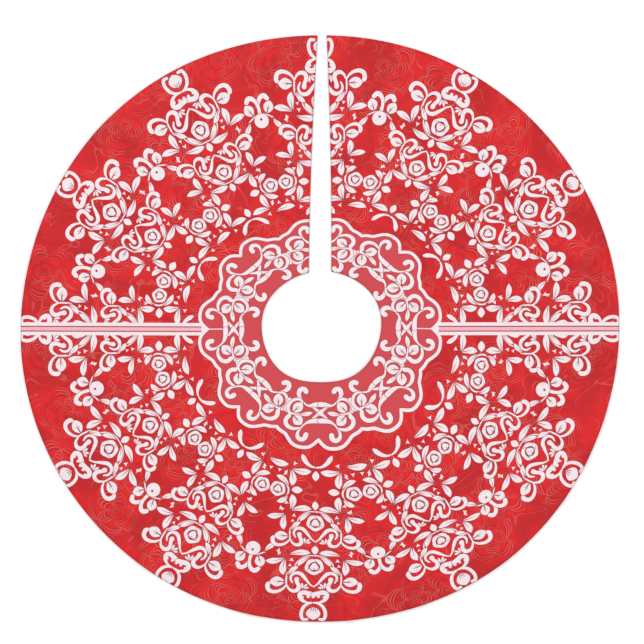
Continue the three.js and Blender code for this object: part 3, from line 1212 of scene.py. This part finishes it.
def copies(name, pattern, places, angles):
    """One mesh with a copy of the pattern at each place (in metres), turned about Z."""
    points, faces = pattern
    cos, sin = np.cos(angles)[:, None], np.sin(angles)[:, None]
    x = points[:, 0] * cos - points[:, 1] * sin + places[:, :1]
    y = points[:, 0] * sin + points[:, 1] * cos + places[:, 1:2]
    z = points[:, 2] + places[:, 2:]
    count = len(points)
    mesh = bpy.data.meshes.new(name)
    mesh.from_pydata(np.stack([x, y, z], 2).reshape(-1, 3).tolist(), [],
                     [tuple(i * count + v for v in f) for i in range(len(places)) for f in faces])
    mesh.shade_smooth()
    return add_object(name, mesh)


def sewn_rows(lines, level, waves=True):
    """Stitches along lines at a level, all in mm, as places in metres and angles.

    They follow the cloth's waves, or else lie flat."""
    trim = bpy.context.scene.tree_skirt_trim
    found = [along(line, (trim.stitch + trim.stitch_gap) / MM) for line in lines]
    flat_places, angles = np.vstack([f[0] for f in found]), np.concatenate([f[1] for f in found])
    height = np.full(len(flat_places), float(level)) + (wave_height(*flat_places.T) if waves else 0)
    return np.column_stack([flat_places, height]) * MM, angles


SEAM_INSET, SEAM_FROM_FAR = 8.0, 3.0  # a tape's two rows of sewing, from its near and far sides
PAD_SEAM_INSET, LABEL_SEAM_INSET = 1.1, 1.3


def ring_line(radius_at):
    """A line round the skirt at a radius given by angle, from one side of the slit to the other."""
    right, left = (slit_corner(s, radius_at, SEAM_INSET)[0] for s in (1, -1))
    angle = np.linspace(right, left - 2 * math.pi, 720)
    return around(radius_at(angle), angle)


# ---------- Modelling small pieces ----------
def select(made, mode, chosen):
    """Selects the faces, edges or vertices of the edited object that chosen(element) is true of."""
    bpy.ops.mesh.select_mode(type=mode)
    bpy.ops.mesh.select_all(action="DESELECT")
    shape = bmesh.from_edit_mesh(made.data)
    for element in {"VERT": shape.verts, "EDGE": shape.edges, "FACE": shape.faces}[mode]:
        element.select_set(bool(chosen(element)))
    shape.select_flush_mode()
    bmesh.update_edit_mesh(made.data)


def cloth_block(name, low, high, corner, edge, cuts=0):
    """A flat block of cloth or webbing between two corners, with rounded corners and soft edges."""
    low, high = Vector(low), Vector(high)
    size = high - low
    deselect()
    bpy.ops.mesh.primitive_cube_add(size=1, location=(low + high) / 2)
    made = bpy.context.object
    made.name = made.data.name = name
    bpy.ops.transform.resize(value=size)
    bpy.ops.object.transform_apply(location=True, rotation=True, scale=True)
    bpy.ops.object.mode_set(mode="EDIT")
    select(made, "EDGE", lambda e: abs(e.verts[0].co.z - e.verts[1].co.z) > 0.5 * size.z)
    bpy.ops.mesh.bevel(offset=corner, offset_type="OFFSET", segments=4)
    if cuts:
        select(made, "FACE", lambda f: abs(f.normal.z) > 0.9)
        bpy.ops.mesh.inset(thickness=0.35 * corner)
    select(made, "EDGE", lambda e: e.calc_face_angle(0) > 1.2)
    bpy.ops.mesh.bevel(offset=edge, offset_type="OFFSET", segments=2)
    bpy.ops.mesh.select_all(action="SELECT")
    bpy.ops.mesh.normals_make_consistent(inside=False)
    bpy.ops.object.mode_set(mode="OBJECT")
    bpy.ops.object.shade_smooth_by_angle(angle=0.6)
    return made


def ridged_webbing(name, low, high, rib_count):
    """A strap with raised ribs along it and a thicker selvedge at each side."""
    made = cloth_block(name, low, high, 0.0035, 0.00014)
    deselect()
    made.select_set(True)
    bpy.context.view_layer.objects.active = made
    bpy.ops.object.mode_set(mode="EDIT")
    pitch = (high[1] - low[1]) / rib_count
    for i in range(1, rib_count):
        bpy.ops.mesh.select_all(action="SELECT")
        bpy.ops.mesh.bisect(plane_co=(0, low[1] + i * pitch, 0), plane_no=(0, 1, 0))
    middle_z = (low[2] + high[2]) / 2
    lines = [low[1] + i * pitch for i in range(2, rib_count - 1, 2)]
    select(made, "VERT", lambda v: any(abs(v.co.y - y) < 1e-5 for y in lines))
    bpy.ops.transform.resize(value=(1, 1, 0.72), center_override=(0, 0, middle_z))
    bpy.ops.object.mode_set(mode="OBJECT")
    bpy.ops.object.shade_smooth()
    return made


def one_hook(height):
    """One hook of the hook tape, standing at the origin and pointing down: a stem that narrows."""
    deselect()
    root, reach = 0.2 * height, 0.45 * height
    bpy.ops.mesh.primitive_cylinder_add(vertices=5, radius=0.14 * height, depth=root,
                                        location=(0, 0, -root / 2))
    made = bpy.context.object
    bpy.ops.object.transform_apply(location=True, rotation=True, scale=True)
    bpy.ops.object.mode_set(mode="EDIT")
    select(made, "FACE", lambda f: f.calc_center_median().z < -0.9 * root and len(f.verts) == 5)
    bpy.ops.mesh.extrude_region_move(TRANSFORM_OT_translate={"value": (0, 0, -reach)})
    bpy.ops.transform.resize(value=(0.95, 0.95, 1))
    bpy.ops.object.mode_set(mode="OBJECT")
    return pattern_of(made)


def one_loop(height):
    """One loop of the loop tape, hanging from the origin."""
    deselect()
    bpy.ops.mesh.primitive_torus_add(
        major_segments=8, minor_segments=4, location=(0, 0, -0.35 * height),
        rotation=(math.pi / 2, 0, 0), major_radius=0.45 * height, minor_radius=0.16 * height)
    made = bpy.context.object
    bpy.ops.object.transform_apply(location=True, rotation=True, scale=True)
    return pattern_of(made)


def place_grid(low, high, pitch, margin):
    """Places in a brick pattern over a rectangle, in metres, with a small turn at each."""
    xs = np.arange(low[0] + margin, high[0] - margin + 1e-6, pitch)
    ys = np.arange(low[1] + margin, high[1] - margin + 1e-6, pitch)
    places = [(x + (pitch / 2 if j % 2 and x + pitch / 2 < high[0] - margin / 2 else 0), y)
              for j, y in enumerate(ys) for x in xs]
    places = np.array(places)
    turns = 0.9 * np.sin(places[:, 0] * 5100 + places[:, 1] * 7300)
    return places, turns


def rectangle_line(low, high, inset):
    """The closed line of sewing inside a rectangle, in mm."""
    (x0, y0), (x1, y1) = np.array(low[:2]) / MM + inset, np.array(high[:2]) / MM - inset
    return np.array([(x0, y0), (x1, y0), (x1, y1), (x0, y1), (x0, y0)])


def joined(pieces, name):
    """Joins shapes into one mesh with one name."""
    deselect()
    for piece in pieces:
        piece.select_set(True)
    bpy.context.view_layer.objects.active = pieces[0]
    bpy.ops.object.join()
    made = bpy.context.object
    made.name = made.data.name = name
    return made


# ---------- Operators ----------
def material_of(name, make):
    """The named material, made the first time that it is wanted."""
    return bpy.data.materials.get(name) or make()


def thread():
    trim = bpy.context.scene.tree_skirt_trim
    return material_of("sewing thread", lambda: woven(
        "sewing thread", tuple(trim.thread), 0.00035, 0.00003, 0.6, 0.6, 0.1, False, 0.10))


def edge_tape():
    trim = bpy.context.scene.tree_skirt_trim
    return material_of("twill tape", lambda: woven(
        "twill tape", tuple(trim.tape), 0.0011, 0.00008, 0.8, math.radians(58), 0.15, False))


class MESH_OT_tree_skirt_face(bpy.types.Operator):
    """Adds the printed face of the skirt, with its turned edge"""

    bl_idname = "mesh.tree_skirt_face"
    bl_label = "Add Printed Face"
    bl_options = {"REGISTER", "UNDO"}

    def execute(self, context):
        cloth, colours = context.scene.tree_skirt_cloth, context.scene.tree_skirt_print
        shapes = [(paint, as_laid(outline)) for paint, outline in whole_print()]
        rows = [face_outline(EDGE_LINE), face_outline(EDGE_ROW)]
        cut = cut_layer(face_outline(), cloth.grid / MM, shapes, rows)
        dyes = np.array([rgba(c) for c in (colours.field, colours.white, colours.medallion,
                                           colours.band, colours.pinstripe, colours.vein,
                                           colours.shade)])
        pieces = layer_pieces("face_cloth", "face", "printed_cloth", cut, FACE_TOP,
                              cloth.face_thickness / MM, printed_cloth(), roll=1.0, lip=EDGE_LIP)
        for (piece, paint), part_name in zip(pieces, PART_NAMES):
            sides = np.repeat(paint, 3)
            x, y, _ = corner_places(piece).T / MM
            # painted shade: the print darkened towards the cut edge, where the cloth rolls down
            edge_painted_shade = 1 - EDGE_SHADE * (1 - np.clip(edge_distance(x, y) / EDGE_LINE, 0, 1))
            dye_and_edge_shade = piece.data.attributes.new("dye_and_edge_shade", "FLOAT_COLOR", "CORNER")
            dye_and_edge_shade.data.foreach_set("color", (dyes[sides] * edge_painted_shade[:, None]).ravel())
            ground = piece.data.attributes.new("ground", "FLOAT", "CORNER")
            ground.data.foreach_set("value", (sides == FIELD).astype(float))
        return {"FINISHED"}


class MESH_OT_tree_skirt_lining(bpy.types.Operator):
    """Adds the plain lining under the printed face"""

    bl_idname = "mesh.tree_skirt_lining"
    bl_label = "Add Lining"
    bl_options = {"REGISTER", "UNDO"}

    def execute(self, context):
        cloth = context.scene.tree_skirt_cloth
        material = woven("lining cloth", tuple(cloth.lining), 0.0008, 0.00004, 0.7)
        cut = cut_layer(face_outline(LINING_INSET), PLAIN_GRID)
        pieces = layer_pieces("lining", "lining", "lining", cut, LINING_TOP,
                              cloth.lining_thickness / MM, material)
        return {"FINISHED"}


class MESH_OT_tree_skirt_tapes(bpy.types.Operator):
    """Adds the hem tape, the collar tape and the two slit facings, all on the underside"""

    bl_idname = "mesh.tree_skirt_tapes"
    bl_label = "Add Tapes"
    bl_options = {"REGISTER", "UNDO"}

    def execute(self, context):
        thickness = context.scene.tree_skirt_trim.tape_thickness / MM
        hem = ring_outline(lambda a: hem_radius(a) - HEM_WIDTH,
                           lambda a: hem_radius(a) - TAPE_INSET, TAPE_INSET)
        collar = ring_outline(lambda a: hole_radius(a) + TAPE_INSET,
                              lambda a: hole_radius(a) + COLLAR_WIDTH, TAPE_INSET)
        for name, node, outline, spacing in (("hem_band", "hem_tape", hem, PLAIN_GRID),
                                             ("collar_band", "collar_tape", collar, COLLAR_GRID)):
            layer_pieces(name, node, "edge_tape", cut_layer(outline, spacing), TAPE_TOP, thickness,
                         edge_tape())
        for side, name in SIDES:
            cut = cut_layer(facing_outline(side), FACING_GRID)
            piece, _ = sheet_mesh(f"slit_facing_{name}", *cut, SLIT_TAPE_TOP,
                                  SLIT_TAPE_TOP - SLIT_TAPE_BOTTOM)
            finish_piece(piece, edge_tape())
            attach(piece, f"upper_{name}")
            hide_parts(f"slit_tape_{name}")
        return {"FINISHED"}


class MESH_OT_tree_skirt_sewing(bpy.types.Operator):
    """Adds the rows of stitches that hold the tapes to the cloth"""

    bl_idname = "mesh.tree_skirt_sewing"
    bl_label = "Add Sewing"
    bl_options = {"REGISTER", "UNDO"}

    def execute(self, context):
        trim = context.scene.tree_skirt_trim
        under_tape = TAPE_TOP - trim.tape_thickness / MM
        for name, radius_at, way, width in (("hem_stitches", hem_radius, -1, HEM_WIDTH),
                                            ("collar_stitches", hole_radius, 1, COLLAR_WIDTH)):
            lines = [ring_line(lambda a, by=way * inset: radius_at(a) + by)
                     for inset in (SEAM_INSET, width - SEAM_FROM_FAR)]
            places, angles = sewn_rows(lines, under_tape)
            owner = part_of(places[:, :2] / MM)
            for part, part_name in enumerate(PART_NAMES):
                own = owner == part
                piece = copies(f"{name}_{part_name}", one_stitch(), places[own], angles[own])
                finish_piece(piece, thread())
                join_body(piece, part)
        for side, name in SIDES:
            low, high = facing_ends()
            lines = [slit_side(side, low + SEAM_FROM_FAR, high - SEAM_FROM_FAR, inset)
                     for inset in (SEAM_INSET, SLIT_TAPE_WIDTH - SEAM_FROM_FAR)]
            rows = sewn_rows(lines, SLIT_TAPE_BOTTOM)
            piece = copies(f"facing_stitches_{name}", one_stitch(), *rows)
            finish_piece(piece, thread())
            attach(piece, f"upper_{name}")
        return {"FINISHED"}


class MESH_OT_tree_skirt_tabs(bpy.types.Operator):
    """Adds the three webbing tabs with their hook pads, and the loop pads that they close onto"""

    bl_idname = "mesh.tree_skirt_tabs"
    bl_label = "Add Closure Tabs"
    bl_options = {"REGISTER", "UNDO"}

    def execute(self, context):
        trim = context.scene.tree_skirt_trim
        webbing = woven("tab webbing", tuple(trim.webbing), 0.0016, 0.00012, 0.75, math.pi / 2,
                        0.15)
        hook_nylon = woven("hook nylon", tuple(trim.webbing), 0.0009, 0.00004, 0.45)
        loop_nylon = woven("loop nylon", tuple(trim.webbing), 0.0009, 0.00004, 0.85, sheen=0.3)
        for station in STATIONS:
            low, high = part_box(f"tab_strap_{station}")
            strap = ridged_webbing(f"webbing_tab_{station}", low, high, 14)
            finish_piece(strap, webbing)
            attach(strap, f"tab_{station}")
            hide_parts(f"tab_strap_{station}")
            self.pad(f"hook_pad_{station}", f"hook_patch_{station}", f"tab_{station}", one_hook,
                     hook_nylon, "hook_pile")
            self.pad(f"loop_pad_{station}", f"loop_patch_{station}", "upper_left", one_loop,
                     loop_nylon, "loop_pile")
        return {"FINISHED"}

    def pad(self, name, node, body, shape, material, slot):
        """A pad with a backing and a field of hooks or loops on its lower side."""
        trim = bpy.context.scene.tree_skirt_trim
        low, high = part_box(node)
        split = low.z + 0.55 * (high.z - low.z)
        backing = cloth_block(f"{name}_backing", (low.x, low.y, split), high, 0.0022, 0.00008)
        places, turns = place_grid(low, high, trim.hook_pitch, 0.0024)
        places = np.column_stack([places, np.full(len(places), split + 0.00002)])
        field = copies(f"{name}_field", shape(split - low.z), places, turns)
        piece = joined([backing, field], name)
        finish_piece(piece, material)
        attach(piece, body)
        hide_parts(node)
        rows = sewn_rows([rectangle_line(low, high, PAD_SEAM_INSET)], split / MM, waves=False)
        sewing = copies(f"{name}_stitches", one_stitch(), *rows)
        finish_piece(sewing, thread())
        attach(sewing, body)


class MESH_OT_tree_skirt_label(bpy.types.Operator):
    """Adds the blank care label on the underside"""

    bl_idname = "mesh.tree_skirt_label"
    bl_label = "Add Care Label"
    bl_options = {"REGISTER", "UNDO"}

    def execute(self, context):
        points = node_points("care_label") * MM
        middle = points[:, :2].mean(0)
        lowest, highest = points[:, 2].min(), points[:, 2].max()
        angle = math.atan2(middle[1], middle[0])
        turn = np.array([[math.cos(angle), math.sin(angle)], [-math.sin(angle), math.cos(angle)]])
        local = (points[:, :2] - middle) @ turn.T
        low, high = (*local.min(0), lowest), (*local.max(0), highest)
        label = cloth_block("satin_label", low, high, 0.0012, 0.0001, cuts=1)
        rows = sewn_rows([rectangle_line(low, high, LABEL_SEAM_INSET)], lowest / MM, waves=False)
        stitches = copies("label_sewing", one_stitch(), *rows)
        satin = woven("label satin", (0.86, 0.85, 0.86), 0.0005, 0.00002, 0.4, 0.0, 0.3, False)
        for piece, material in ((label, satin), (stitches, thread())):
            deselect()
            piece.select_set(True)
            bpy.context.view_layer.objects.active = piece
            piece.rotation_euler[2] = angle
            piece.location = (*middle, wave_height(*(middle / MM)) * MM)
            bpy.ops.object.transform_apply(location=True, rotation=True, scale=True)
            finish_piece(piece, material)
            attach(piece, "lower_right")
        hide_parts("care_label")
        return {"FINISHED"}


# Each light: its place and its size in metres, and its power in watts. All point at the hole.
LIGHTS = (
    ("main light", (-1.6, 1.8, 3.4), 2.6, 57), ("fill light", (2.2, -1.2, 3.0), 3.0, 32),
    ("top light", (0.3, 0.2, 4.8), 3.4, 39),
)
WORLD_STRENGTH = 0.58
FLOOR_GLOW = 0.07  # keeps the paper white beyond the lights
SENSOR_WIDTH = 36


class SCENE_OT_tree_skirt_stage(bpy.types.Operator):
    """Adds the floor, the soft lights and the camera that looks straight down"""

    bl_idname = "scene.tree_skirt_stage"
    bl_label = "Add Stage"
    bl_options = {"REGISTER", "UNDO"}

    def execute(self, context):
        scene, stage = context.scene, context.scene.tree_skirt_stage
        deselect()
        bpy.ops.mesh.primitive_plane_add(size=14, location=(0, 0, 0))
        floor = context.object
        floor.name = "floor"
        finish = Finish("floor paper", 0.95, 0.0, 0.0)
        pale, darker = rgba(stage.floor), rgba(tuple(0.9 * c for c in stage.floor))
        grain = finish.times(finish.noise(finish.place, 3.0), 0.012)
        floor.data.materials.append(finish.done(finish.mix(grain, pale, darker)))
        finish.shader.inputs["Emission Color"].default_value = pale
        finish.shader.inputs["Emission Strength"].default_value = FLOOR_GLOW
        for name, place, size, power in LIGHTS:
            data = bpy.data.lights.new(name, "AREA")
            data.size, data.energy = size, power
            light = bpy.data.objects.new(name, data)
            light.location = place
            light.rotation_euler = (-Vector(place)).to_track_quat("-Z", "Y").to_euler()
            scene.collection.objects.link(light)
        world = bpy.data.worlds.new("soft studio")
        world.use_nodes = True
        background = world.node_tree.nodes["Background"]
        background.inputs["Color"].default_value = (1, 1, 1, 1)
        background.inputs["Strength"].default_value = WORLD_STRENGTH
        scene.world = world
        lens = bpy.data.cameras.new("camera")
        lens.sensor_width = SENSOR_WIDTH
        lens.lens = SENSOR_WIDTH * stage.height / stage.frame_width
        camera = bpy.data.objects.new("camera", lens)
        camera.location = (stage.right, stage.back, stage.height)
        scene.collection.objects.link(camera)
        scene.camera = camera
        scene.view_settings.view_transform = "Standard"
        return {"FINISHED"}


OPERATORS = (
    MESH_OT_tree_skirt_lining, MESH_OT_tree_skirt_face, MESH_OT_tree_skirt_tapes,
    MESH_OT_tree_skirt_sewing, MESH_OT_tree_skirt_tabs, MESH_OT_tree_skirt_label,
    SCENE_OT_tree_skirt_stage,
)


class VIEW3D_PT_tree_skirt(bpy.types.Panel):
    """The tree skirt's pieces and settings"""

    bl_idname = "VIEW3D_PT_tree_skirt"
    bl_label = "Tree Skirt"
    bl_space_type = "VIEW_3D"
    bl_region_type = "UI"
    bl_category = "Tree Skirt"

    def draw(self, context):
        for kind in OPERATORS:
            self.layout.operator(kind.bl_idname)
        for name in SETTINGS:
            box = self.layout.box()
            group = getattr(context.scene, name)
            for key in group.__annotations__:
                box.prop(group, key)


SETTINGS = {
    "tree_skirt_print": TreeSkirtPrint, "tree_skirt_cloth": TreeSkirtCloth,
    "tree_skirt_trim": TreeSkirtTrim, "tree_skirt_stage": TreeSkirtStage,
}


def register():
    for kind in (*SETTINGS.values(), *OPERATORS, VIEW3D_PT_tree_skirt):
        bpy.utils.register_class(kind)
    for name, kind in SETTINGS.items():
        setattr(bpy.types.Scene, name, bpy.props.PointerProperty(type=kind))


def unregister():
    for name in SETTINGS:
        delattr(bpy.types.Scene, name)
    for kind in (VIEW3D_PT_tree_skirt, *reversed(OPERATORS), *reversed(SETTINGS.values())):
        bpy.utils.unregister_class(kind)


def main():
    register()
    deselect()
    bpy.ops.mesh.tree_skirt_tapes()
    bpy.ops.mesh.tree_skirt_lining()
    bpy.ops.mesh.tree_skirt_face()
    bpy.ops.mesh.tree_skirt_sewing()
    bpy.ops.mesh.tree_skirt_tabs()
    bpy.ops.mesh.tree_skirt_label()
    bpy.ops.scene.tree_skirt_stage()


if __name__ == "__main__":
    main()
